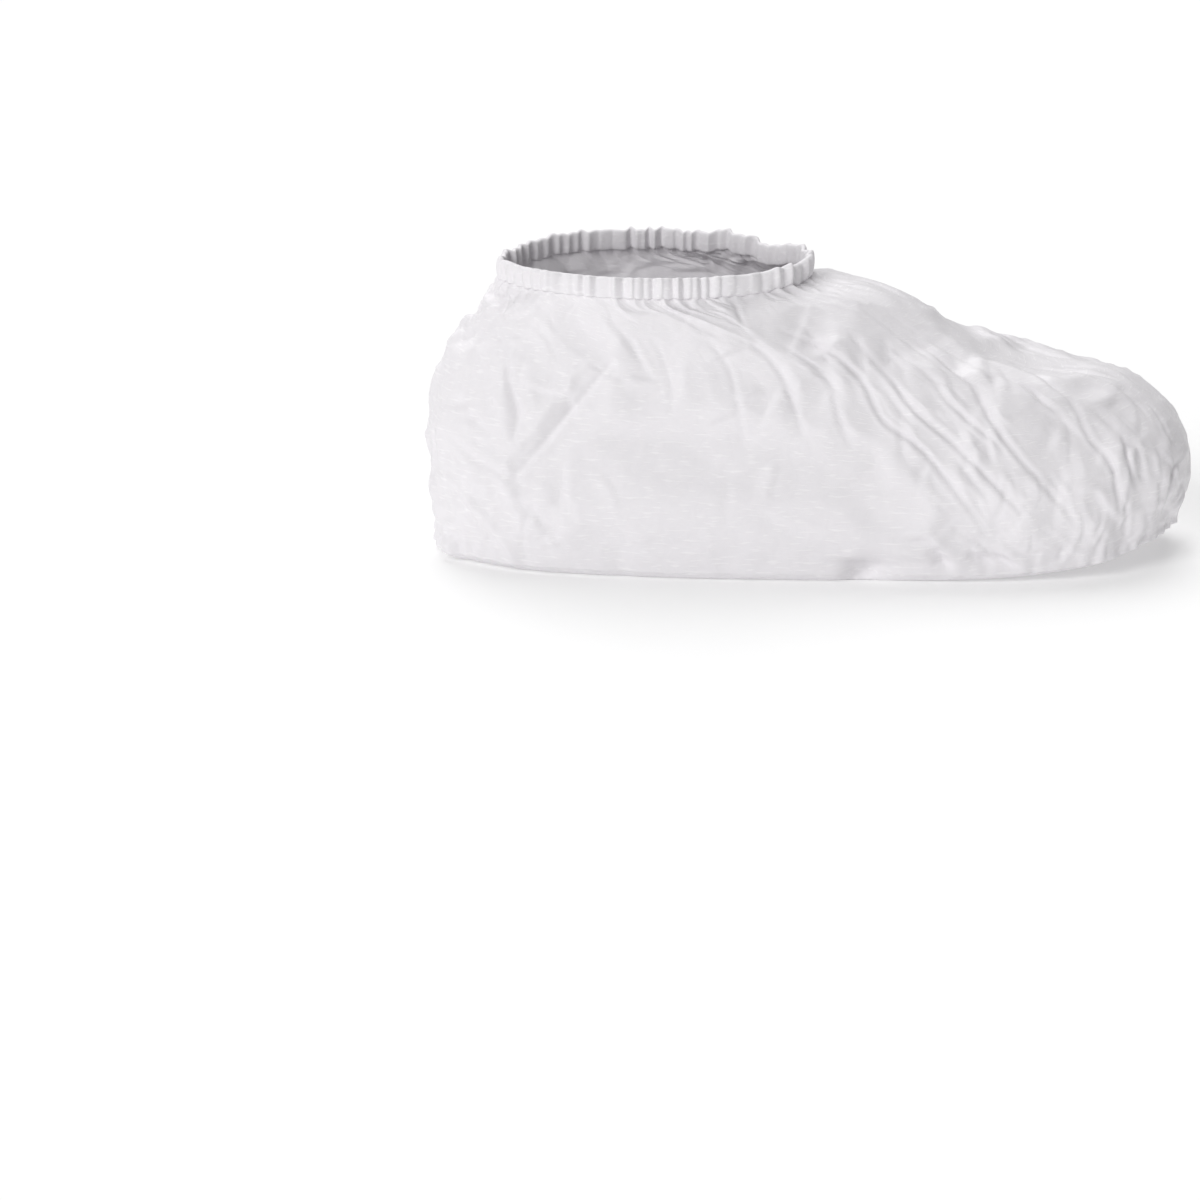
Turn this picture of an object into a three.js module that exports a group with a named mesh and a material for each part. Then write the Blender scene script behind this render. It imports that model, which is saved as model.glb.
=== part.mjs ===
// Disposable shoe cover, standing on its sole in the shape it takes over a low shoe: a soft white bag of
// nonwoven cloth, gathered at the ankle by an elastic hem and sewn round the foot to a sole panel.
// Millimetres, +Z up. The toe points along +X and the inner side of the foot faces -Y.
// The origin is on the floor under the middle of the cover.

import * as THREE from "three";
import { LoftGeometry } from "three/addons/geometries/LoftGeometry.js";
import { mergeVertices } from "three/addons/utils/BufferGeometryUtils.js";

// Driving dimensions
const LENGTH = 320;
const WIDTH = 117;
const RIM_HEIGHT = 119;
const WALL = 1.2;
const SOLE_CROWN = 1.5;
const SEAM_GAP = 0.3;
const HEM_HEIGHT = 8;
const HEM_THICKNESS = 3.4;
const HEM_SIDES = 8;
const HEM_WAVE = 0.5;

// Gathers made by the elastic: how many, how deep at the rim, and the percent of the rise where they begin
const GATHERS = 24;
const GATHER_DEPTH = 1.7;
const GATHER_START = 52;

// How finely the cloth is divided: columns round the foot, crowded a little towards its two sides,
// rows between two neighbouring sections, and steps along a fold
const COLUMNS = GATHERS * 4;
const SIDE_CROWDING = 0.35;
const ROWS_PER_SECTION = 3;
const SPINE_STEPS = 8;
const WELD_DISTANCE = 1e-4;

// Sections of the bag from the sole seam up to the ankle rim, in percent: toe, heel and widest of half the
// length, inner and outer of half the width, and the heights at toe, side and heel of the rim's height.
// The two corners are powers of the rounded outline in front and behind: 2 is an ellipse, more is fuller.
// The outer side bulges more than the inner one, so all is shifted to keep the middle over the origin.
const SIDE_SHIFT = -3;
const SECTION_COLUMNS = [
  "toe", "heel", "widest", "inner", "outer", "toeZ", "sideZ", "heelZ", "toeCorner", "heelCorner",
];
const BAG_SECTIONS = table(SECTION_COLUMNS, [
  [96.3, -97.5, 28, 87, 92, 12.6, 3.4, 3.4, 2.6, 3.1],
  [100, -100, 26, 97, 103, 26, 28.5, 32, 2.4, 2.8],
  [95, -98.8, 19, 92, 97, 48, 52, 59, 2.3, 2.5],
  [79.4, -94.4, 5, 80, 84, 64.7, 69, 77.3, 2.1, 2.3],
  [51.3, -90, -14, 75, 77, 71.6, 82, 87.4, 1.95, 2.1],
  [21.2, -86.3, -30, 72, 72, 93, 91.5, 94, 1.95, 2.05],
  [4.5, -83.5, -39, 69, 69, 96.8, 96, 97.5, 2, 2],
  [-1.2, -82, -41, 66, 66, 100, 99.5, 100, 2, 2],
]);

// Sections of the sole panel in the same percentages: the low crown inside, the edge of the flat tread
// on the floor, and the turn towards the seam
const [CROWN_SECTION, TREAD_SECTION, TURN_SECTION] = table(SECTION_COLUMNS, [
  [30, -60, 10, 40, 42, 0, 0, 0, 2.6, 3],
  [60, -92.5, 25, 79, 84, 0, 0, 0, 2.6, 3],
  [87.5, -95.6, 27, 85, 90, 6.3, 0.9, 0.9, 2.6, 3],
]);

// Folds fade out over this share of the rise above the seam, and start and end this share of the way along
const SEAM_MARGIN = 0.06;
const FOLD_END = 0.08;

// Folds of the bag. Angles are in degrees round the foot from the toe by way of the outer side, the heel
// and the inner side. Rises are in percent of the way from the seam to the rim. Each fold is a valley that
// runs from one place to another, drawn towards a bend on its way. Depth and width are in millimetres.
const FOLDS = table(
  ["fromAngle", "fromRise", "bendAngle", "bendRise", "toAngle", "toRise", "depth", "width"],
  [
    // Inner side: tension folds fanning from the front of the ankle to the ball and toe
    [276, 45, 273, 36, 274, 26, 2.6, 5],
    [294, 53, 267, 30, 279, 9, 3.0, 5],
    [280, 36, 283, 24, 287, 14, 3.2, 5],
    [297, 51, 287, 40, 288, 32, 2.6, 5],
    [314, 55, 279, 31, 296, 16, 3.2, 5],
    [312, 46, 315, 28, 311, 14, 3.0, 5],
    [321, 34, 318, 26, 318, 18, 2.2, 4],
    [326, 52, 322, 48, 318, 44, 2.4, 5],
    // Inner side: heel creases and small tucks at the sole edge
    [232, 35, 224, 25, 218, 16, 2.8, 5],
    [203, 19, 210, 18, 218, 15, 2.2, 4],
    [198, 12, 204, 9, 210, 7, 2.0, 4],
    [272, 7, 274, 5, 277, 3, 2.0, 5],
    [313, 15, 314, 10, 314, 5, 2.0, 4],
    // Toe: crumples round the tip
    [344, 33, 341, 27, 338, 21, 2.2, 5],
    [352, 22, 340, 16, 331, 8, 2.4, 5],
    [12, 30, 18, 22, 22, 12, 2.4, 5],
    [356, 46, 350, 44, 344, 40, 1.8, 5],
    // Outer side: its own fan of folds
    [85, 46, 88, 36, 86, 24, 2.6, 5],
    [67, 54, 92, 32, 80, 11, 3.0, 5],
    [76, 37, 73, 26, 69, 13, 3.0, 5],
    [50, 54, 78, 33, 65, 16, 3.2, 5],
    [45, 46, 44, 30, 50, 14, 2.8, 5],
    [36, 36, 39, 27, 40, 19, 2.2, 4],
    [130, 36, 137, 26, 142, 16, 2.6, 5],
    [158, 22, 151, 18, 145, 13, 2.2, 4],
  ],
);

// Rows of numbers turned into records with named columns
function table(columns, rows) {
  return rows.map((row) => Object.fromEntries(columns.map((name, index) => [name, row[index]])));
}

// A power that keeps the sign, for rounded outlines
function signedPower(value, power) {
  return Math.sign(value) * Math.abs(value) ** power;
}

// Columns an even angle apart, moved towards the sides, and back again by a few repeated corrections
function crowdedAngle(even) {
  return even + (SIDE_CROWDING / 2) * Math.sin(2 * even);
}

function evenAngle(angle) {
  const passes = 10;
  let even = angle;
  for (let pass = 0; pass < passes; pass += 1) {
    even = angle - (SIDE_CROWDING / 2) * Math.sin(2 * even);
  }
  return even;
}

// Point of one section at an angle round the foot
function sectionPoint(section, angle) {
  const forward = Math.cos(angle);
  const sideways = Math.sin(angle);
  const power = 2 / (forward > 0 ? section.toeCorner : section.heelCorner);
  const reach = forward > 0 ? section.toe - section.widest : section.widest - section.heel;
  const along = section.widest + reach * signedPower(forward, power);
  const across = (sideways > 0 ? section.outer : section.inner) * signedPower(sideways, power);
  const endHeight = forward > 0 ? section.toeZ : section.heelZ;
  const height = section.sideZ + (endHeight - section.sideZ) * forward * forward;
  return new THREE.Vector3(
    ((along / 100) * LENGTH) / 2,
    (((across + SIDE_SHIFT) / 100) * WIDTH) / 2,
    (height / 100) * RIM_HEIGHT,
  );
}

// Smooth bag without folds: a curve through the sections at one angle, read at a share of its rise
function bagPoint(angle, rise) {
  const stations = BAG_SECTIONS.map((section) => sectionPoint(section, angle));
  return new THREE.CatmullRomCurve3(stations, false, "catmullrom").getPoint(rise);
}

// Outward direction of a surface given as a function of angle and rise
function outwardAt(surface, angle, rise) {
  const angleStep = 0.01;
  const riseStep = 0.004;
  const low = Math.max(rise - riseStep, 0);
  const high = Math.min(rise + riseStep, 1);
  const round = surface(angle + angleStep, rise).sub(surface(angle - angleStep, rise));
  const up = surface(angle, high).sub(surface(angle, low));
  return round.cross(up).normalize();
}

// The line a fold follows on the smooth bag
function foldSpine(fold) {
  const place = (angle, rise) => new THREE.Vector2(THREE.MathUtils.degToRad(angle), rise / 100);
  const path = new THREE.QuadraticBezierCurve(
    place(fold.fromAngle, fold.fromRise),
    place(fold.bendAngle, fold.bendRise),
    place(fold.toAngle, fold.toRise),
  );
  return path.getPoints(SPINE_STEPS).map((at) => bagPoint(at.x, at.y));
}

const SPINES = FOLDS.map(foldSpine);

// How far one fold moves the cloth: a valley along its spine, with a low ridge on each side,
// fading out towards both ends
function foldRelief(fold, spine, point) {
  const nearest = new THREE.Vector3();
  let closest = Infinity;
  let share = 0;
  for (let step = 0; step < SPINE_STEPS; step += 1) {
    const piece = new THREE.Line3(spine[step], spine[step + 1]);
    const along = piece.closestPointToPointParameter(point, true);
    const distance = piece.at(along, nearest).distanceTo(point);
    if (distance < closest) {
      closest = distance;
      share = (step + along) / SPINE_STEPS;
    }
  }
  const spread = (closest / fold.width) ** 2;
  const fade = Math.sin(Math.PI * THREE.MathUtils.clamp(share, FOLD_END, 1 - FOLD_END));
  return -fold.depth * fade * (1 - spread) * Math.exp(-spread);
}

// How far the gathers move the cloth in or out near the ankle
function gatherRelief(angle, rise) {
  const start = GATHER_START / 100;
  const strength = THREE.MathUtils.clamp((rise - start) / (1 - start), 0, 1);
  return GATHER_DEPTH * strength * Math.cos(GATHERS * evenAngle(angle));
}

// The bag's outer face, with its folds and gathers; the seam edge itself stays smooth
function clothPoint(angle, rise) {
  const point = bagPoint(angle, rise);
  const seamFade = THREE.MathUtils.smoothstep(rise, 0, SEAM_MARGIN);
  const folds = FOLDS.reduce((sum, fold, index) => sum + foldRelief(fold, SPINES[index], point), 0);
  const relief = folds * seamFade + gatherRelief(angle, rise);
  return point.addScaledVector(outwardAt(bagPoint, angle, rise), relief);
}

// One ring of points round the foot, a point for each column
function ring(pointAt) {
  const evenAngles = Array.from({ length: COLUMNS }, (_, column) => (column / COLUMNS) * Math.PI * 2);
  return evenAngles.map((even) => pointAt(crowdedAngle(even)));
}

function outerRing(rise) {
  return ring((angle) => clothPoint(angle, rise));
}

function innerRing(rise) {
  return ring((angle) => {
    const outward = outwardAt(clothPoint, angle, rise);
    return clothPoint(angle, rise).addScaledVector(outward, -WALL);
  });
}

// A closed solid skinned through rings of points
function solid(name, material, sections, caps) {
  const loft = new LoftGeometry(sections, { closed: true, capStart: caps, capEnd: caps });
  const skin = new THREE.BufferGeometry().setIndex(loft.index);
  skin.setAttribute("position", loft.getAttribute("position"));
  const welded = mergeVertices(skin, WELD_DISTANCE);
  welded.computeVertexNormals();
  const mesh = new THREE.Mesh(welded, material);
  mesh.name = name;
  return mesh;
}

const whiteCloth = new THREE.MeshStandardMaterial({ color: 0xf1f1f3, roughness: 0.75 });
whiteCloth.name = "white_nonwoven";

// Upper: the hollow foot bag, up the outer face, over the rim, down the inner face and back under
const rowCount = (BAG_SECTIONS.length - 1) * ROWS_PER_SECTION;
const rises = Array.from({ length: rowCount + 1 }, (_, row) => row / rowCount);
const upperOuter = rises.map(outerRing);
const upperInner = rises.map(innerRing).reverse();
const upper = solid("upper", whiteCloth, [...upperOuter, ...upperInner, upperOuter[0]], false);

// Sole: a flat tread turned up to the seam, its edge just under the edge of the bag
function lowered(points) {
  return points.map((point) => point.clone().setZ(point.z - SEAM_GAP));
}

function raised(points, height) {
  return points.map((point) => point.clone().setZ(point.z + height));
}

const tread = ring((angle) => sectionPoint(TREAD_SECTION, angle));
const crown = ring((angle) => sectionPoint(CROWN_SECTION, angle));
const turn = ring((angle) => sectionPoint(TURN_SECTION, angle));
const soleEdgeOuter = lowered(upperOuter[0]);
const soleEdgeInner = lowered(upperInner[upperInner.length - 1]);
const soleInside = [soleEdgeInner, raised(turn, WALL), raised(tread, WALL), raised(crown, SOLE_CROWN)];
const sole = solid("sole", whiteCloth, [tread, turn, soleEdgeOuter, ...soleInside], true);

// Ankle hem: an upright casing of cloth over elastic that follows the gathered rim
function hemRing(side) {
  const turnRound = ((side + 0.5) / HEM_SIDES) * Math.PI * 2;
  const outward = (HEM_THICKNESS / 2) * Math.sin(turnRound);
  const upward = (HEM_HEIGHT / 2) * (1 - Math.cos(turnRound));
  return ring((angle) => {
    const away = outwardAt(bagPoint, angle, 1).setZ(0).normalize();
    const shift = HEM_WAVE * gatherRelief(angle, 1) + outward - HEM_THICKNESS / 2;
    const height = clothPoint(angle, 1).z + SEAM_GAP + upward;
    return bagPoint(angle, 1).addScaledVector(away, shift).setZ(height);
  });
}

const hemSides = Array.from({ length: HEM_SIDES }, (_, side) => hemRing(side));
const ankleHem = solid("ankle_hem", whiteCloth, [...hemSides, hemSides[0]], false);

const shoeCover = new THREE.Group();
shoeCover.name = "shoe_cover";
shoeCover.add(upper, sole, ankleHem);

export default shoeCover;
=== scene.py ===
import math

import bpy
import numpy as np
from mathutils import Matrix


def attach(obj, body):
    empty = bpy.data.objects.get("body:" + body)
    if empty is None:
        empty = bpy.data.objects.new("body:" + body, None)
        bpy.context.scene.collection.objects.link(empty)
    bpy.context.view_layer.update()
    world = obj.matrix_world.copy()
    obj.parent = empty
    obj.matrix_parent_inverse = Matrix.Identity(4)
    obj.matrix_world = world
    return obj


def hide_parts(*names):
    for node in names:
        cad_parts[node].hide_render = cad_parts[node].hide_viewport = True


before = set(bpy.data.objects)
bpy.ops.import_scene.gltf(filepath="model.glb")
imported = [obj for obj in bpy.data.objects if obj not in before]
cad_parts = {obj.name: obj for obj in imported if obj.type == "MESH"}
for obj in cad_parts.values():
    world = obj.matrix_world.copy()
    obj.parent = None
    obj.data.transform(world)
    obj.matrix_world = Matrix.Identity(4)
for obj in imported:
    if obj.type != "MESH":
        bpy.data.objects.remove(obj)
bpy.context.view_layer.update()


# Upper: the bag for the foot, one loose shell of thin white spun-bonded sheet, sewn to the sole all round.
# The elastic at the ankle draws it back, so long folds fan from the front of the ankle to the ball and the
# toe, and the slack cloth crumples at the toe, at the heel and along the sole seam.
LENGTH = 0.320
WIDTH = 0.117
RIM_HEIGHT = 0.119
SIDE_SHIFT = -3
SIDE_CROWDING = 0.35
UPPER_COLUMNS = 600
UPPER_ROWS = 148

# Sections from seam to rim: percent of half the length, of half the width and of the rim's height, and two
# corner powers
SECTION_COLUMNS = (
    "toe", "heel", "widest", "inner", "outer", "toe_z", "side_z", "heel_z", "toe_corner", "heel_corner",
)
BAG_SECTIONS = [dict(zip(SECTION_COLUMNS, row)) for row in (
    (96.3, -97.5, 28, 87, 92, 12.6, 3.4, 3.4, 2.6, 3.1),
    (100, -100, 26, 97, 103, 26, 28.5, 32, 2.4, 2.8),
    (95, -98.8, 19, 92, 97, 48, 52, 59, 2.3, 2.5),
    (79.4, -94.4, 5, 80, 84, 64.7, 69, 77.3, 2.1, 2.3),
    (51.3, -90, -14, 75, 77, 71.6, 82, 87.4, 1.95, 2.1),
    (21.2, -86.3, -30, 72, 72, 93, 91.5, 94, 1.95, 2.05),
    (4.5, -83.5, -39, 69, 69, 96.8, 96, 97.5, 2, 2),
    (-1.2, -82, -41, 66, 66, 100, 99.5, 100, 2, 2),
)]


def section_ring(section, angle):
    """Points of one section at angles round the bag, in metres."""
    forward = np.cos(angle)
    sideways = np.sin(angle)
    power = 2 / np.where(forward > 0, section["toe_corner"], section["heel_corner"])
    reach = np.where(forward > 0, section["toe"] - section["widest"], section["widest"] - section["heel"])
    along = section["widest"] + reach * np.sign(forward) * np.abs(forward) ** power
    half = np.where(sideways > 0, section["outer"], section["inner"])
    across = half * np.sign(sideways) * np.abs(sideways) ** power + SIDE_SHIFT
    end = np.where(forward > 0, section["toe_z"], section["heel_z"])
    height = section["side_z"] + (end - section["side_z"]) * forward ** 2
    return np.stack([along * LENGTH / 200, across * WIDTH / 200, height * RIM_HEIGHT / 100], -1)


def through(stops, place):
    """A smooth curve through stops, read at places from 0 to 1; each place may have stops of its own."""
    stops = np.concatenate([[2 * stops[0] - stops[1]], stops, [2 * stops[-1] - stops[-2]]])
    spans = len(stops) - 3
    low = np.minimum((place * spans).astype(int), spans - 1)
    part = (place * spans - low)[..., None]
    here = tuple(np.indices(low.shape)) if stops.ndim > 2 else ()
    before, start, end, after = (stops[(low + step,) + here] for step in range(4))
    return 0.5 * (2 * start + (end - before) * part
                  + (2 * before - 5 * start + 4 * end - after) * part ** 2
                  + (3 * start - before - 3 * end + after) * part ** 3)


def bag_surface(angle, rise):
    """The smooth bag at angles round the bag and shares of the rise from seam to rim."""
    angle, rise = np.broadcast_arrays(np.asarray(angle, float), np.asarray(rise, float))
    rings = np.stack([section_ring(section, angle) for section in BAG_SECTIONS])
    return through(rings, np.clip(rise, 0, 1))


def grid_normals(points):
    """Outward unit normals of a grid of points whose columns close round the bag."""
    round_foot = np.roll(points, -1, axis=1) - np.roll(points, 1, axis=1)
    upward = np.gradient(points, axis=0)
    normal = np.cross(round_foot, upward)
    return normal / np.linalg.norm(normal, axis=-1, keepdims=True)


def angle_from(angle, middle):
    """The shortest way round from a middle given in degrees, in radians."""
    return np.angle(np.exp(1j * (angle - math.radians(middle))))


even = np.linspace(0, 2 * np.pi, UPPER_COLUMNS, endpoint=False)
column_angle = even + SIDE_CROWDING / 2 * np.sin(2 * even)
row_rise = np.linspace(0, 1, UPPER_ROWS + 1)
angle_grid, rise_grid = np.meshgrid(column_angle, row_rise)
smooth_bag = bag_surface(angle_grid, rise_grid)
bag_normals = grid_normals(smooth_bag)

# Folds: four stops as an angle in degrees and a rise in percent, the depth in millimetres, and the width in
# millimetres of the flank to the left and to the right of the crease as seen from outside, looking down it
FOLD_COLUMNS = (
    "angle_1", "rise_1", "angle_2", "rise_2", "angle_3", "rise_3", "angle_4", "rise_4",
    "depth", "left", "right",
)
FOLDS = [dict(zip(FOLD_COLUMNS, row)) for row in (
    # Inner side, fanning from the front of the ankle
    (292, 64, 273, 38, 274, 26, 280, 7, 3.0, 6.5, 2.2),
    (303, 64, 282, 43, 280, 28, 288, 12, 3.2, 6.5, 2.2),
    (312, 64, 292, 45, 287, 36, 288, 26, 2.4, 5, 2.0),
    (322, 62, 299, 44, 290, 28, 300, 9, 3.2, 7, 2.2),
    (336, 58, 326, 49, 320, 45, 316, 41, 2.0, 4, 1.8),
    (313, 48, 310, 42, 308, 38, 309, 34, 2.2, 4, 1.8),
    (316, 39, 311, 30, 312, 23, 311, 12, 2.2, 5, 1.7),
    (322, 31, 318, 26, 317, 22, 319, 17, 1.8, 2.6, 2.0),
    (333, 70, 329, 65, 326, 60, 321, 55, 1.6, 4, 2.0),
    (326, 72, 322, 66, 316, 60, 308, 55, 1.6, 4, 2.0),
    (314, 15, 314, 11, 314, 8, 315, 4, 1.8, 3, 1.8),
    (304, 7, 305, 9, 306, 11, 306, 14, 1.4, 3, 1.8),
    # Short gathers on the inner side, under the ankle
    (280, 62, 271, 45, 268, 36, 267, 25, 1.8, 4, 2.2),
    (272, 62, 266, 46, 264, 38, 263, 29, 1.6, 3.5, 2.2),
    (264, 62, 259, 47, 257, 38, 256, 26, 1.1, 4, 3),
    (252, 62, 249, 48, 248, 40, 247, 34, 1.0, 4, 3),
    # Inner side of the heel
    (240, 50, 231, 33, 226, 24, 219, 14, 3.0, 3.4, 7),
    (214, 46, 217, 36, 220, 30, 220, 23, 2.2, 2.6, 4),
    (200, 22, 207, 20, 214, 18, 223, 16, 2.2, 4, 1.8),
    (201, 13, 205, 11, 209, 8, 214, 6, 2.0, 4, 1.8),
    (196, 4, 202, 4, 207, 4, 213, 4, 1.6, 3, 1.8),
    (209, 9, 213, 5, 216, 3, 219, 1, 1.8, 3, 1.8),
    (222, 1, 225, 2, 228, 3, 232, 5, 1.2, 3, 2.0),
    (203, 30, 207, 27, 211, 25, 216, 24, 1.6, 3, 1.8),
    (226, 13, 224, 9, 223, 6, 223, 2, 1.4, 3, 1.8),
    # Tucks along the inner sole edge
    (269, 9, 271, 6, 272, 4, 273, 0, 2.4, 3, 2.2),
    (274, 10, 278, 7, 282, 3, 285, 0, 3.0, 6, 2.0),
    (265, 3, 267, 2, 268, 1, 270, 0, 1.4, 4, 1.8),
    # Toe
    (344, 35, 341, 30, 339, 27, 343, 23, 1.7, 3, 1.6),
    (362, 26, 345, 23, 333, 19, 331, 8, 2.6, 4, 2.0),
    (342, 48, 348, 46, 353, 44, 359, 43, 1.8, 3, 4),
    (8, 34, 15, 27, 20, 20, 23, 10, 2.2, 2.0, 4),
    (352, 16, 350, 12, 351, 8, 349, 3, 1.6, 3, 1.8),
    (4, 22, 6, 16, 7, 10, 5, 4, 1.6, 3, 1.8),
    (24, 50, 25, 43, 28, 36, 26, 29, 1.8, 2.0, 4),
    # Across the top, behind the toe
    (326, 58, 346, 52, 368, 51, 390, 57, 1.8, 2.2, 4),
    (334, 45, 350, 48, 367, 46, 382, 41, 1.6, 4, 2),
    (331, 66, 350, 61, 370, 62, 390, 67, 1.5, 2.2, 4),
    (340, 55, 352, 56, 366, 54, 376, 48, 1.3, 3, 2),
    (16, 60, 28, 54, 36, 48, 40, 41, 0.9, 2, 4),
    # Outer side, with a fan of its own
    (66, 64, 86, 40, 87, 26, 80, 9, 2.8, 2.2, 6.5),
    (56, 64, 76, 44, 77, 28, 69, 12, 3.0, 2.2, 6.5),
    (44, 62, 65, 45, 71, 31, 62, 10, 3.0, 2.2, 7),
    (34, 60, 47, 47, 53, 38, 52, 29, 2.2, 2.0, 5),
    (42, 38, 45, 30, 44, 22, 48, 11, 2.4, 1.8, 5),
    (92, 60, 96, 46, 97, 37, 98, 26, 1.6, 2.2, 4),
    (108, 60, 110, 46, 111, 38, 112, 26, 1.2, 3, 4),
    (122, 52, 131, 35, 137, 25, 143, 13, 2.8, 7, 3.4),
    (160, 24, 154, 20, 148, 17, 140, 15, 2.0, 1.8, 4),
    (163, 12, 157, 9, 152, 7, 147, 6, 1.8, 1.8, 4),
    (88, 8, 87, 5, 86, 3, 85, 0, 1.8, 2.2, 4),
    # Back of the heel
    (186, 60, 184, 46, 182, 36, 179, 27, 1.8, 4, 2.4),
    (171, 32, 175, 25, 174, 18, 172, 9, 1.8, 4, 2.0),
    (193, 36, 191, 29, 192, 22, 195, 14, 1.8, 3, 2.0),
)]
# Shape of a crease across, in widths of its flank and in depths: a valley and the shoulder beside it
CREASE_ROUNDING = 0.0005
CREASE_REACH = 4.5
VALLEY_WIDTH = 1.8
VALLEY_POWER = 1.2
SHOULDER_HEIGHT = 0.3
SHOULDER_PLACE = 2
SHOULDER_WIDTH = 1.2
FADE_POWER = 0.7
SPINE_POINTS = 16


def crease_relief(spine, depth, left, right):
    """Relief of one crease on the smooth bag: a sharp valley between shoulders, fading out at both ends."""
    relief = np.zeros(angle_grid.shape)
    reach = CREASE_REACH * max(left, right)
    inside = np.all((smooth_bag > spine.min(0) - reach) & (smooth_bag < spine.max(0) + reach), axis=-1)
    near, facing = smooth_bag[inside], bag_normals[inside]
    nearest = np.full(len(near), np.inf)
    side = np.zeros(len(near))
    share = np.zeros(len(near))
    for step in range(len(spine) - 1):
        edge = spine[step + 1] - spine[step]
        along = np.clip((near - spine[step]) @ edge / (edge @ edge), 0, 1)
        offset = near - (spine[step] + along[:, None] * edge)
        distance = np.linalg.norm(offset, axis=-1)
        closer = distance < nearest
        nearest[closer] = distance[closer]
        share[closer] = ((step + along) / (len(spine) - 1))[closer]
        side[closer] = np.einsum("ij,ij->i", offset, np.cross(facing, edge))[closer]
    width = np.where(side > 0, right, left)
    away = (np.sqrt(nearest ** 2 + CREASE_ROUNDING ** 2) - CREASE_ROUNDING) / width
    valley = np.clip(1 - away / VALLEY_WIDTH, 0, 1) ** VALLEY_POWER
    shoulder = np.exp(-((away - SHOULDER_PLACE) / SHOULDER_WIDTH) ** 2)
    fade = np.clip(4 * share * (1 - share), 0, 1) ** FADE_POWER
    relief[inside] = depth * fade * (SHOULDER_HEIGHT * shoulder - valley)
    return relief


def fold_spine(fold):
    """Points of a fold's crease on the smooth bag."""
    stops = np.array([[fold[f"angle_{stop}"], fold[f"rise_{stop}"]] for stop in (1, 2, 3, 4)], float)
    turns = through(stops, np.linspace(0, 1, SPINE_POINTS))
    return bag_surface(np.radians(turns[:, 0]), turns[:, 1] / 100)


def eased(relief, limit):
    """Relief that levels off towards a limit, so that crossing creases don't pinch the sheet."""
    return limit * np.tanh(relief / limit)


MILLIMETRE = 0.001
DEEPEST_FOLD = 0.003
fold_relief = eased(sum(
    crease_relief(fold_spine(fold), *(MILLIMETRE * fold[key] for key in ("depth", "left", "right")))
    for fold in FOLDS
), DEEPEST_FOLD)

# Hollows where the loose cloth sinks: at the sides, beside the ball, at the inner sole edge, and on and
# under the toe's tip. Middle and half width, round in degrees and up in percent, and depth in millimetres.
HOLLOW_COLUMNS = ("angle", "rise", "angle_width", "rise_width", "depth")
HOLLOWS = [dict(zip(HOLLOW_COLUMNS, row)) for row in (
    (250, 27, 22, 9, 7),
    (281, 33, 9, 13, 1.4),
    (231, 20, 8, 10, 1.2),
    (108, 27, 20, 9, 6),
    (78, 33, 9, 13, 1.4),
    (42, 49, 18, 6, 1.4),
    (279, 2.5, 5, 2.5, 3.2),
    (272, 1.5, 2.5, 2, 1.6),
    (344, 38, 9, 6, 1.4),
    (350, 13, 16, 8, 3.2),
    (14, 13, 15, 8, 2.6),
)]
hollow_relief = np.zeros(angle_grid.shape)
for hollow in HOLLOWS:
    round_share = angle_from(angle_grid, hollow["angle"]) / math.radians(hollow["angle_width"])
    rise_share = (100 * rise_grid - hollow["rise"]) / hollow["rise_width"]
    hollow_relief -= MILLIMETRE * hollow["depth"] * np.exp(-round_share ** 2 - rise_share ** 2)

# Gathers: pleats drawn together by the elastic, of uneven depth and length
GATHERS = 40
GATHER_DEPTH = 0.0022
GATHER_SHIFT = 0.3
GATHER_SIZES = (0.6, 1.3)
GATHER_STARTS = (0.45, 0.82)
DRAW_IN = 0.5
DRAW_START = 0.55
DRAW_SPAN = 0.45
PLEAT_WIDTH = 0.28
PLEAT_POWER = 1.4
PLEAT_FADE = 0.8
gather_draw = np.random.default_rng(11)
gather_shift = gather_draw.uniform(-GATHER_SHIFT, GATHER_SHIFT, GATHERS)
gather_size = gather_draw.uniform(*GATHER_SIZES, GATHERS)
gather_start = gather_draw.uniform(*GATHER_STARTS, GATHERS)


def gather_relief(even_angle, rise):
    """How far the gathers stand in or out near the ankle."""
    drawn = np.clip((rise - DRAW_START) / DRAW_SPAN, 0, 1)
    relief = -DRAW_IN * drawn * np.ones(np.broadcast(even_angle, rise).shape)
    for shift, size, start, index in zip(gather_shift, gather_size, gather_start, range(GATHERS)):
        middle = 360 * (index + 0.5 + shift) / GATHERS
        away = np.abs(angle_from(even_angle, middle)) * GATHERS / (2 * np.pi)
        grown = np.clip((rise - start) / (1 - start), 0, 1) ** PLEAT_FADE
        relief += size * grown * np.exp(-(away / PLEAT_WIDTH) ** PLEAT_POWER)
    return GATHER_DEPTH * relief


# The seam holds the cloth, so folds and hollows start a little above it
SEAM_HOLD = 0.025
seam_hold = np.clip(rise_grid / SEAM_HOLD, 0, 1)
relief = (fold_relief + hollow_relief) * seam_hold
relief += gather_relief(np.broadcast_to(even, angle_grid.shape), rise_grid)
folded_bag = smooth_bag + relief[..., None] * bag_normals


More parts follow.
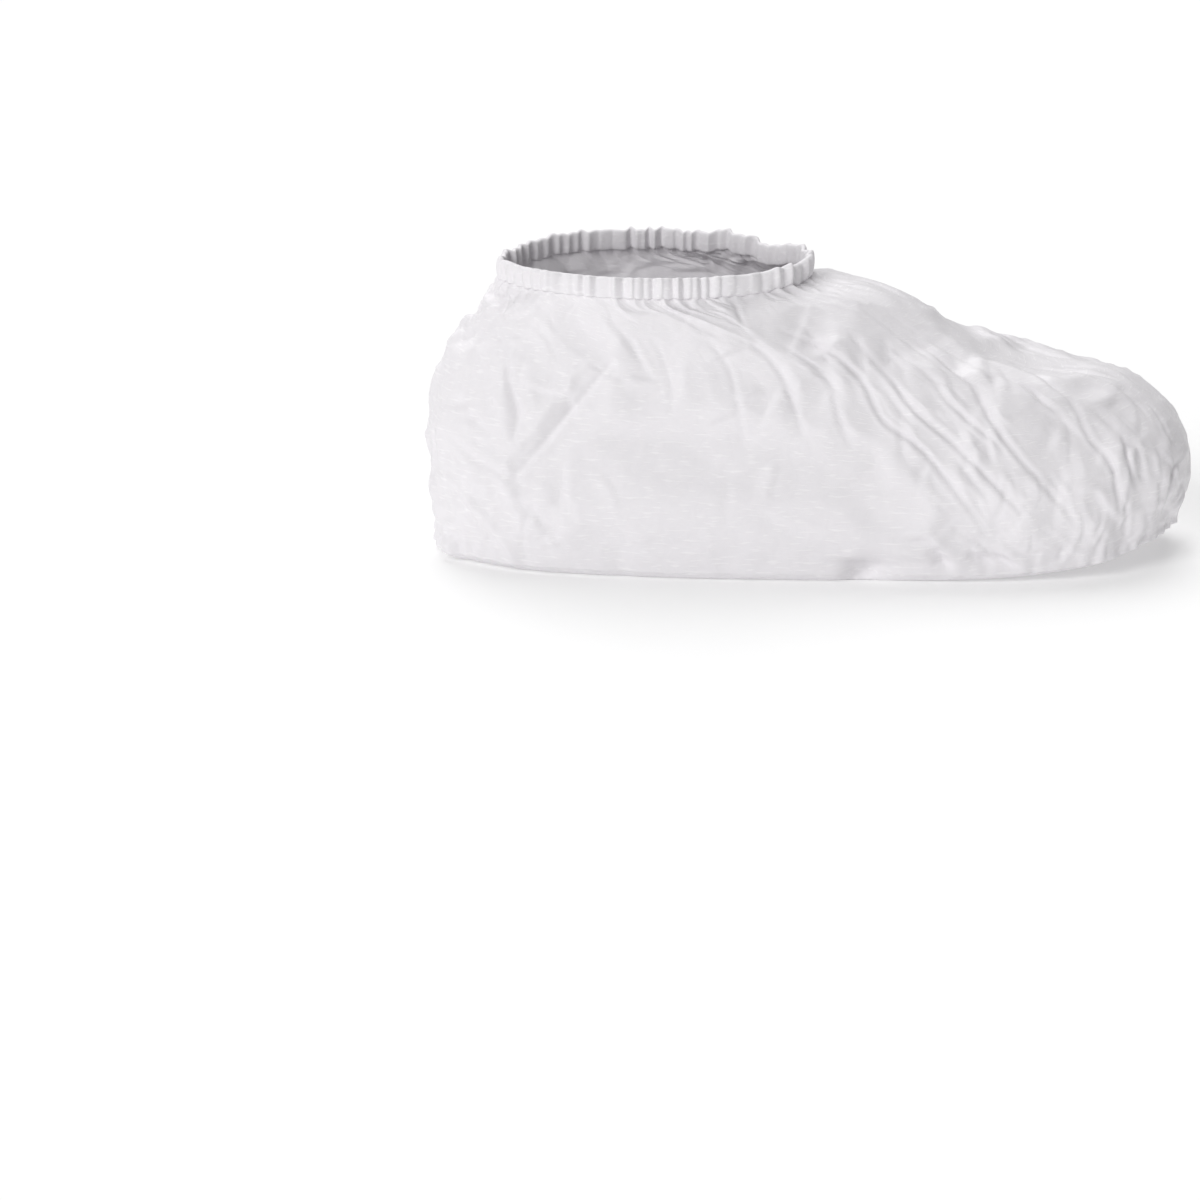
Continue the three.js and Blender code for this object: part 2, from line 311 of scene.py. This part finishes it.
def grid_piece(name, points, closes=False, capped=False):
    """A smooth mesh from a grid of points; columns close round, rows may close or the first be capped."""
    rows, columns = points.shape[:2]
    index = np.arange(rows * columns).reshape(rows, columns)
    above = np.roll(index, -1, axis=0)
    faces = np.stack([index, np.roll(index, -1, axis=1), np.roll(above, -1, axis=1), above], -1)
    if not closes:
        faces = faces[:-1]
    faces = faces.reshape(-1, 4).tolist()
    if capped:
        faces.append(index[0, ::-1].tolist())
    mesh = bpy.data.meshes.new(name)
    mesh.from_pydata(points.reshape(-1, 3).tolist(), [], faces)
    mesh.polygons.foreach_set("use_smooth", np.ones(len(mesh.polygons), bool))
    piece = bpy.data.objects.new(name, mesh)
    bpy.context.scene.collection.objects.link(piece)
    return piece


# Slack: the sheet is a little longer than it need be, most at the heel, then at the toe. A cloth simulation
# on every second row and column of the grid presses it on a shoe's form, held at the seam and at the rim.
FORM_GAP = 0.0025
LEAST_SLACK = 0.0015
MOST_SLACK = 0.021
SETTLE_FRAMES = 14
SETTLE_LIMIT = 0.004
SHEET_GAP = 0.0008
SPREAD_PASSES = 160
SPIKE_PASSES = 3
SPIKE_LIMIT = 0.00035
TOE_WIDTH = 0.8
TOE_TOP = 1.2
TOE_FALL = 1.5
HEEL_WIDTH = 0.7
BALL_ANGLE = 1.05
BALL_WIDTH = 0.5
BALL_RISE = 0.35
BALL_HEIGHT = 0.3
RIM_START = 0.6
RIM_SPAN = 0.3
SLACK = {"all_over": 0.04, "toe": 0.3, "heel": 0.7, "ball": 0.1, "rim": 0.12}
from_toe = np.abs(angle_from(angle_grid, 0))
near_toe = np.exp(-(from_toe / TOE_WIDTH) ** 2) * np.clip(TOE_TOP - TOE_FALL * rise_grid, 0, 1)
near_heel = np.exp(-((np.pi - from_toe) / HEEL_WIDTH) ** 2)
ball_round = (from_toe - BALL_ANGLE) / BALL_WIDTH
ball_up = (rise_grid - BALL_RISE) / BALL_HEIGHT
near_ball = np.exp(-ball_round ** 2 - ball_up ** 2)
near_rim = np.clip((rise_grid - RIM_START) / RIM_SPAN, 0, 1)
slack = SLACK["all_over"] + SLACK["toe"] * near_toe + SLACK["heel"] * near_heel
slack = np.clip(slack + SLACK["ball"] * near_ball + SLACK["rim"] * near_rim, 0, 1)


def spread(values):
    """The mean of each point's four neighbours on a grid whose columns close round the bag."""
    sides = np.roll(values, 1, axis=1) + np.roll(values, -1, axis=1)
    ends = np.concatenate([values[:1], values[:-1]]) + np.concatenate([values[1:], values[-1:]])
    return (sides + ends) / 4


def no_longer(vectors, limit):
    """Vectors cut to a greatest length."""
    length = np.linalg.norm(vectors, axis=-1, keepdims=True)
    return vectors * np.minimum(1, limit / np.maximum(length, 1e-9))


def settled_move(start, form, slack_share):
    """How far each point of a loose sheet moves as it settles on a form, less the swelling of the whole."""
    sheet = grid_piece("loose_sheet", start)
    index = np.arange(start[..., 0].size).reshape(start.shape[:2])
    sewn = sheet.vertex_groups.new(name="sewn")
    sewn.add(index[[0, 1, -2, -1]].ravel().tolist(), 1, "REPLACE")
    loose = sheet.vertex_groups.new(name="loose")
    for point, share in enumerate(slack_share.ravel().tolist()):
        loose.add([point], share, "REPLACE")
    settle = sheet.modifiers.new("settle", "CLOTH")
    settle.settings.quality = 6
    settle.settings.tension_stiffness = 80
    settle.settings.compression_stiffness = 80
    settle.settings.shear_stiffness = 40
    settle.settings.bending_stiffness = 3
    settle.settings.vertex_group_mass = "sewn"
    settle.settings.vertex_group_shrink = "loose"
    settle.settings.shrink_min = -LEAST_SLACK
    settle.settings.shrink_max = -MOST_SLACK
    settle.settings.use_pressure = True
    settle.settings.uniform_pressure_force = -1
    settle.settings.effector_weights.gravity = 0
    settle.collision_settings.distance_min = SHEET_GAP
    settle.point_cache.frame_end = SETTLE_FRAMES
    shoe = grid_piece("shoe_form", form)
    shoe.modifiers.new("hold", "COLLISION")
    shoe.collision.thickness_outer = SHEET_GAP
    shoe.collision.cloth_friction = 2
    for moment in range(1, SETTLE_FRAMES + 1):
        bpy.context.scene.frame_set(moment)
    settled = sheet.evaluated_get(bpy.context.evaluated_depsgraph_get()).data
    places = np.empty(start.size)
    settled.vertices.foreach_get("co", places)
    for helper in (sheet, shoe):
        bpy.data.meshes.remove(helper.data)
    bpy.context.scene.frame_set(1)
    move = places.reshape(start.shape) - start
    broad = move
    for _ in range(SPREAD_PASSES):
        broad = spread(broad)
    move = no_longer(move - broad, SETTLE_LIMIT)
    for _ in range(SPIKE_PASSES):
        move = spread(move) + no_longer(move - spread(move), SPIKE_LIMIT)
    return move


def between(values, axis):
    """Values half way between neighbours along an axis, by a smooth curve; columns close round the bag."""
    if axis == 0:
        values = np.concatenate([values[:1], values, values[-1:]])
        first, second, third, fourth = values[:-3], values[1:-2], values[2:-1], values[3:]
    else:
        first, second, third, fourth = (np.roll(values, -step, axis=1) for step in (-1, 0, 1, 2))
    return (9 * (second + third) - first - fourth) / 16


move = np.zeros(smooth_bag.shape)
shoe_form = (smooth_bag + (hollow_relief - FORM_GAP)[..., None] * bag_normals)[::4, ::4]
coarse = settled_move(folded_bag[::2, ::2], shoe_form, slack[::2, ::2])
move[::2, ::2] = coarse
move[1::2, ::2] = between(coarse, 0)
move[:, 1::2] = between(move[:, ::2], 1)
settled_bag = folded_bag + move

# Flats: the sheet is stiff like paper, so at the toe, heel and ball it bends along sharp edges between flat
# patches. There it is filled out a little and then planed flat in many small places.
FLATS = 260
FLAT_REACH = 0.018
FLAT_TILT = 0.06
FLAT_FILL = 0.0018
FLAT_TOP = 0.8
FLAT_CUTS = (0.0003, 0.0013)
HEEL_FLATS = 0.8
BALL_FLATS = 0.35
flat_places = np.clip(near_toe + HEEL_FLATS * near_heel + BALL_FLATS * near_ball, 0, 1)
flat_draw = np.random.default_rng(31)
settled_bag = settled_bag + (FLAT_FILL * flat_places)[..., None] * bag_normals
placed = 0
while placed < FLATS:
    row = flat_draw.integers(2, int(FLAT_TOP * UPPER_ROWS))
    column = flat_draw.integers(UPPER_COLUMNS)
    tilt = flat_draw.normal(0, FLAT_TILT, 3)
    cut = flat_draw.uniform(*FLAT_CUTS)
    if flat_draw.uniform() > flat_places[row, column]:
        continue
    facing = bag_normals[row, column] + tilt
    facing /= np.linalg.norm(facing)
    offset = settled_bag - (settled_bag[row, column] - cut * facing)
    hold = np.clip(2 - 2 * np.linalg.norm(offset, axis=-1) / FLAT_REACH, 0, 1)
    settled_bag = settled_bag - (hold * np.maximum(offset @ facing, 0))[..., None] * facing
    placed += 1

# Creases: the crisp line at the bottom of each fold, and many short crumples, thick at the toe and heel and
# along the sole and sparse on the broad sides
LINE_SHARE = 0.32
LINE_WIDTH = 0.0009
DEEPEST_LINE = 0.0008
CRUMPLES = 700
CRUMPLE_TOP = 0.88
CRUMPLE_HALVES = (0.003, 0.016)
CRUMPLE_SLOPES = (0.03, 0.075)
CRUMPLE_BOW = 0.25
CRUMPLE_FLANKS = (0.09, 0.3)
CRUMPLE_POINTS = 6
CHANCE_ANYWHERE = 0.04
CHANCE_ON_FLATS = 0.8
CHANCE_LOW = 0.35
LOW_RISE = 0.1
crease_lines = eased(sum(
    crease_relief(fold_spine(fold), LINE_SHARE * MILLIMETRE * fold["depth"], LINE_WIDTH, LINE_WIDTH)
    for fold in FOLDS
), DEEPEST_LINE)
crumple_draw = np.random.default_rng(5)
crumples = np.zeros(angle_grid.shape)
placed = 0
while placed < CRUMPLES:
    row = crumple_draw.integers(2, int(CRUMPLE_TOP * UPPER_ROWS))
    column = crumple_draw.integers(UPPER_COLUMNS)
    heading = crumple_draw.uniform(0, np.pi)
    half = crumple_draw.uniform(*CRUMPLE_HALVES)
    depth = crumple_draw.choice([-1, 1]) * crumple_draw.uniform(*CRUMPLE_SLOPES) * half
    bow = crumple_draw.uniform(-CRUMPLE_BOW, CRUMPLE_BOW)
    low_edge = CHANCE_LOW * np.exp(-(rise_grid[row, column] / LOW_RISE) ** 2)
    if crumple_draw.uniform() > CHANCE_ANYWHERE + CHANCE_ON_FLATS * flat_places[row, column] + low_edge:
        continue
    sideways = smooth_bag[row, (column + 1) % UPPER_COLUMNS] - smooth_bag[row, column - 1]
    sideways /= np.linalg.norm(sideways)
    upward = np.cross(bag_normals[row, column], sideways)
    run = math.cos(heading) * sideways + math.sin(heading) * upward
    over = math.cos(heading) * upward - math.sin(heading) * sideways
    steps = np.linspace(-1, 1, CRUMPLE_POINTS)[:, None]
    spine = smooth_bag[row, column] + half * (steps * run + bow * (1 - steps ** 2) * over)
    crumples += crease_relief(spine, depth, *(flank * half for flank in CRUMPLE_FLANKS))
    placed += 1

# Puckers: short upright gathers that the seam's stitches draw in the edge, over a slight roll along the seam
# itself, and one deep tuck at the inner sole edge
SEAM_ROLL = 0.0007
ROLL_RISE = 0.014
PUCKER_DEPTH = 0.0005
PUCKER_RISE = 0.04
PUCKER_WAVES = (29, 43, 61, 83)
SIDE_PUCKER = 0.15
END_PUCKER = 0.9
TUCK_ANGLE = 267.9
TUCK_WIDTH = math.radians(1.1)
TUCK_DEPTH = 0.007
TUCK_RISE = 0.028
FINE_HOLD = 0.02
pucker_draw = np.random.default_rng(17)
pucker = np.zeros(UPPER_COLUMNS)
for waves in PUCKER_WAVES:
    pucker += np.sin(waves * even + pucker_draw.uniform(0, 2 * np.pi))
pucker *= SIDE_PUCKER + END_PUCKER * np.maximum(near_toe[0], near_heel[0])
seam_relief = PUCKER_DEPTH * pucker * np.exp(-(rise_grid / PUCKER_RISE) ** 2)
seam_relief += SEAM_ROLL * np.exp(-(rise_grid / ROLL_RISE) ** 2)
tuck_share = angle_from(angle_grid, TUCK_ANGLE) / TUCK_WIDTH
seam_relief -= TUCK_DEPTH * np.exp(-tuck_share ** 2 - (rise_grid / TUCK_RISE) ** 2)
fine_relief = (crease_lines + crumples) * np.clip(rise_grid / FINE_HOLD, 0, 1) + seam_relief
upper_points = settled_bag + fine_relief[..., None] * bag_normals

# Taut middle: along the top and round the tip of the toe the sheet is drawn tight, so it is smoother there
TAUT_SHARE = 0.65
TAUT_PASSES = 60
TAUT_WIDTH = 0.35
TAUT_START = 0.08
TAUT_END = 0.85
TAUT_FADE = 0.2
FLOOR_GAP = 0.0006
taut = TAUT_SHARE * np.exp(-(from_toe / TAUT_WIDTH) ** 2)
taut *= np.clip(rise_grid / TAUT_START, 0, 1) * np.clip((TAUT_END - rise_grid) / TAUT_FADE, 0, 1)
rough = upper_points - smooth_bag
calm = rough
for _ in range(TAUT_PASSES):
    calm = spread(calm)
upper_points += taut[..., None] * (calm - rough)
upper_points[..., 2] = np.maximum(upper_points[..., 2], FLOOR_GAP)
upper = grid_piece("upper_cloth", upper_points)

# The cloth's own lengths round the bag and up from the seam, so that its pressed pattern follows the surface
ring_length = np.linalg.norm(np.roll(smooth_bag, -1, axis=1) - smooth_bag, axis=-1)[UPPER_ROWS // 4]
climb = np.linalg.norm(np.diff(smooth_bag, axis=0), axis=-1)
height = np.concatenate([np.zeros((1, UPPER_COLUMNS)), np.cumsum(climb, axis=0)])
height = np.concatenate([height, height[:, :1]], axis=1)
across = np.broadcast_to(np.concatenate([[0], np.cumsum(ring_length)]), height.shape)
corner = np.stack([across, height], -1)
face_corners = np.stack([corner[:-1, :-1], corner[:-1, 1:], corner[1:, 1:], corner[1:, :-1]], 2)
upper.data.uv_layers.new(name="cloth").data.foreach_set("uv", face_corners.reshape(-1))

SHEET_WHITE = (0.872, 0.852, 0.876, 1)
SHEET_THIN = (0.847, 0.827, 0.852, 1)
DASH_WHITE = (0.915, 0.897, 0.917, 1)


def spun_sheet(name, dash_coordinate):
    """Thin white spun-bonded sheet: a cloudy web of fibres with short pressed dashes and a satin finish."""
    material = bpy.data.materials.new(name)
    material.use_nodes = True
    nodes = material.node_tree.nodes
    join = material.node_tree.links.new
    shader = nodes["Principled BSDF"]
    shader.inputs["Roughness"].default_value = 0.5
    shader.inputs["Specular IOR Level"].default_value = 0.3
    shader.inputs["Sheen Weight"].default_value = 0.1
    shader.inputs["Sheen Roughness"].default_value = 0.5
    place = nodes.new("ShaderNodeTexCoord")

    web = nodes.new("ShaderNodeTexNoise")
    web.inputs["Scale"].default_value = 150
    web.inputs["Detail"].default_value = 6
    web.inputs["Roughness"].default_value = 0.62
    web.inputs["Distortion"].default_value = 1.8
    join(place.outputs["Object"], web.inputs["Vector"])
    cloud = nodes.new("ShaderNodeValToRGB")
    cloud.color_ramp.elements[0].position = 0.34
    cloud.color_ramp.elements[0].color = SHEET_THIN
    cloud.color_ramp.elements[1].position = 0.66
    cloud.color_ramp.elements[1].color = SHEET_WHITE
    join(web.outputs["Fac"], cloud.inputs["Fac"])

    stretch = nodes.new("ShaderNodeMapping")
    stretch.inputs["Scale"].default_value = (150, 820, 820)
    join(place.outputs[dash_coordinate], stretch.inputs["Vector"])
    dashes = nodes.new("ShaderNodeTexNoise")
    dashes.inputs["Scale"].default_value = 1
    dashes.inputs["Detail"].default_value = 1
    join(stretch.outputs["Vector"], dashes.inputs["Vector"])
    pressed = nodes.new("ShaderNodeMapRange")
    pressed.inputs["From Min"].default_value = 0.58
    pressed.inputs["From Max"].default_value = 0.70
    join(dashes.outputs["Fac"], pressed.inputs["Value"])
    tint = nodes.new("ShaderNodeMix")
    tint.data_type = "RGBA"
    join(pressed.outputs["Result"], tint.inputs["Factor"])
    join(cloud.outputs["Color"], tint.inputs["A"])
    tint.inputs["B"].default_value = DASH_WHITE
    join(tint.outputs["Result"], shader.inputs["Base Color"])

    dash_bump = nodes.new("ShaderNodeBump")
    dash_bump.inputs["Strength"].default_value = 0.25
    dash_bump.inputs["Distance"].default_value = 0.0002
    join(pressed.outputs["Result"], dash_bump.inputs["Height"])
    web_bump = nodes.new("ShaderNodeBump")
    web_bump.inputs["Strength"].default_value = 0.12
    web_bump.inputs["Distance"].default_value = 0.0005
    join(web.outputs["Fac"], web_bump.inputs["Height"])
    join(dash_bump.outputs["Normal"], web_bump.inputs["Normal"])
    join(web_bump.outputs["Normal"], shader.inputs["Normal"])
    return material


upper.data.materials.append(spun_sheet("upper_sheet", "UV"))
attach(upper, "root")
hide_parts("upper")


# Sole: a panel of the same sheet, sewn to the upper all round. Its edge turns up a few millimetres to the
# seam, more at the toe, where the seam puckers, and the rest lies flat on the floor.
SOLE_TURN = dict(zip(SECTION_COLUMNS, (87.5, -95.6, 27, 85, 90, 6.3, 0.9, 0.9, 2.6, 3)))
SOLE_TREAD = dict(zip(SECTION_COLUMNS, (60, -92.5, 25, 79, 84, 0, 0, 0, 2.6, 3)))
SOLE_LIFT = 0.0002
TURN_RINGS = 9
TREAD_RINGS = 16
TREAD_STOPS = (0.985, 0.06)
seam_edge = upper_points[0]
turn_edge = section_ring(SOLE_TURN, column_angle) + seam_edge - smooth_bag[0]
tread_edge = section_ring(SOLE_TREAD, column_angle)
sole_middle = tread_edge.mean(0)
turned_up = [
    share ** 2 * seam_edge + 2 * share * (1 - share) * turn_edge + (1 - share) ** 2 * tread_edge
    for share in np.linspace(0, 1, TURN_RINGS)
]
flat_rings = [
    tread_edge + share * (sole_middle - tread_edge)
    for share in np.linspace(*TREAD_STOPS, TREAD_RINGS)
]
sole_points = np.stack(flat_rings + turned_up)
sole_points[..., 2] = np.maximum(sole_points[..., 2], 0) + SOLE_LIFT
sole_points[-1] = seam_edge
sole = grid_piece("sole_cloth", sole_points, capped=True)
sole.data.materials.append(spun_sheet("sole_sheet", "Object"))
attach(sole, "root")
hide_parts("sole")


# Ankle hem: the bag's top edge, turned over an elastic cord and closed to a narrow casing, which the cord
# draws together into ruffles round the opening.
HEM_COLUMNS = 720
HEM_SIDES = 20
HEM_HEIGHT = 0.0088
HEM_THICKNESS = 0.0032
HEM_SINK = 0.0008
RUFFLES = 67
RUFFLE_DEPTH = 0.0008
RUFFLE_ROUNDING = 0.12
RUFFLE_LEVEL = 1.3
RUFFLE_STOPS = 40
RUFFLE_SIZES = (0.3, 1.4)
RUFFLE_SHIFTS = ((1.4, 5), (0.9, 11))
RUFFLE_OUT = 0.85
RUFFLE_UP = 0.45
SWAY_OUT = 0.3
CASING_POWER = 0.55
hem_even = np.linspace(0, 2 * np.pi, HEM_COLUMNS, endpoint=False)
rim = np.stack([
    np.interp(hem_even, even, upper_points[-1, :, axis], period=2 * np.pi) for axis in range(3)
], -1)
smooth_rim = bag_surface(hem_even + SIDE_CROWDING / 2 * np.sin(2 * hem_even), np.ones(HEM_COLUMNS))
rim_run = np.roll(smooth_rim, -1, axis=0) - np.roll(smooth_rim, 1, axis=0)
rim_out = np.stack([rim_run[:, 1], -rim_run[:, 0], np.zeros(HEM_COLUMNS)], -1)
rim_out /= np.linalg.norm(rim_out, axis=-1, keepdims=True)
ruffle_draw = np.random.default_rng(23)
ruffle_stops = np.linspace(0, 2 * np.pi, RUFFLE_STOPS, endpoint=False)
stop_sizes = ruffle_draw.uniform(*RUFFLE_SIZES, RUFFLE_STOPS)
ruffle_size = np.interp(hem_even, ruffle_stops, stop_sizes, period=2 * np.pi)
ruffle_turn = RUFFLES * hem_even
for shift, waves in RUFFLE_SHIFTS:
    ruffle_turn = ruffle_turn + shift * np.sin(waves * hem_even)
ruffle_wave = 2 * np.sqrt(np.sin(ruffle_turn / 2) ** 2 + RUFFLE_ROUNDING) - RUFFLE_LEVEL
ruffle = RUFFLE_DEPTH * ruffle_size * ruffle_wave
sway = gather_relief(hem_even, np.ones(HEM_COLUMNS))
hem_rings = []
for turn in np.linspace(0, 2 * np.pi, HEM_SIDES, endpoint=False):
    climb_share = (1 - math.cos(turn)) / 2
    bulge = HEM_THICKNESS / 2 * math.copysign(abs(math.sin(turn)) ** CASING_POWER, math.sin(turn))
    outward = bulge + RUFFLE_OUT * ruffle + SWAY_OUT * sway * climb_share
    upward = HEM_HEIGHT * climb_share - HEM_SINK + RUFFLE_UP * ruffle * climb_share
    hem_rings.append(rim + outward[:, None] * rim_out + upward[:, None] * np.array([0, 0, 1]))
hem_points = np.stack(hem_rings)
hem = grid_piece("ankle_hem_casing", hem_points, closes=True)
hem.data.materials.append(spun_sheet("hem_sheet", "Object"))
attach(hem, "root")
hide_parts("ankle_hem")


# Floor, light and camera: a pale floor under an even sky and three broad lamps. One is low at the front
# left, one is high behind and lays the soft shadow in front, and a faint one is low behind. The camera
# looks a little down on the inner side.
FLOOR_WHITE = (0.78, 0.78, 0.78, 1)
FLOOR_GLOW = 0.25
SKY_STRENGTH = 0.17
# Strength, then tilt from overhead, turn about the upright and width of each lamp in degrees
LAMPS = {
    "side_lamp": (1.62, 57, -35, 32),
    "top_lamp": (1.7, -26, 6, 46),
    "back_lamp": (0.3, -58, 22, 30),
}
bpy.ops.mesh.primitive_plane_add(size=14)
floor = bpy.context.object
floor.name = "floor"
floor_paint = bpy.data.materials.new("floor_white")
floor_paint.use_nodes = True
floor_shader = floor_paint.node_tree.nodes["Principled BSDF"]
floor_shader.inputs["Base Color"].default_value = FLOOR_WHITE
floor_shader.inputs["Roughness"].default_value = 0.9
floor_shader.inputs["Specular IOR Level"].default_value = 0
floor_shader.inputs["Emission Color"].default_value = (1, 1, 1, 1)
floor_shader.inputs["Emission Strength"].default_value = FLOOR_GLOW
floor.data.materials.append(floor_paint)

sky = bpy.data.worlds.new("even_sky")
sky.use_nodes = True
sky.node_tree.nodes["Background"].inputs["Color"].default_value = (1, 1, 1, 1)
sky.node_tree.nodes["Background"].inputs["Strength"].default_value = SKY_STRENGTH
bpy.context.scene.world = sky

for lamp_name, (strength, tilt, turn, softness) in LAMPS.items():
    bpy.ops.object.light_add(type="SUN", rotation=(math.radians(tilt), 0, math.radians(turn)))
    lamp = bpy.context.object
    lamp.name = lamp_name
    lamp.data.energy = strength
    lamp.data.angle = math.radians(softness)

VIEW_AZIMUTH = math.radians(0.9)
VIEW_ELEVATION = math.radians(19)
VIEW_DISTANCE = 2.2
VIEW_AIM = np.array([-0.0872, -0.0745, 0])
FOCAL_PIXELS = 5403
FRAME_PIXELS = 1200
back = np.array([
    math.sin(VIEW_AZIMUTH) * math.cos(VIEW_ELEVATION),
    -math.cos(VIEW_AZIMUTH) * math.cos(VIEW_ELEVATION),
    math.sin(VIEW_ELEVATION),
])
bpy.ops.object.camera_add(
    location=VIEW_AIM + VIEW_DISTANCE * back, rotation=(math.pi / 2 - VIEW_ELEVATION, 0, VIEW_AZIMUTH),
)
camera = bpy.context.object
camera.data.sensor_width = 36
camera.data.lens = camera.data.sensor_width * FOCAL_PIXELS / FRAME_PIXELS
bpy.context.scene.camera = camera
bpy.context.scene.view_settings.view_transform = "Standard"
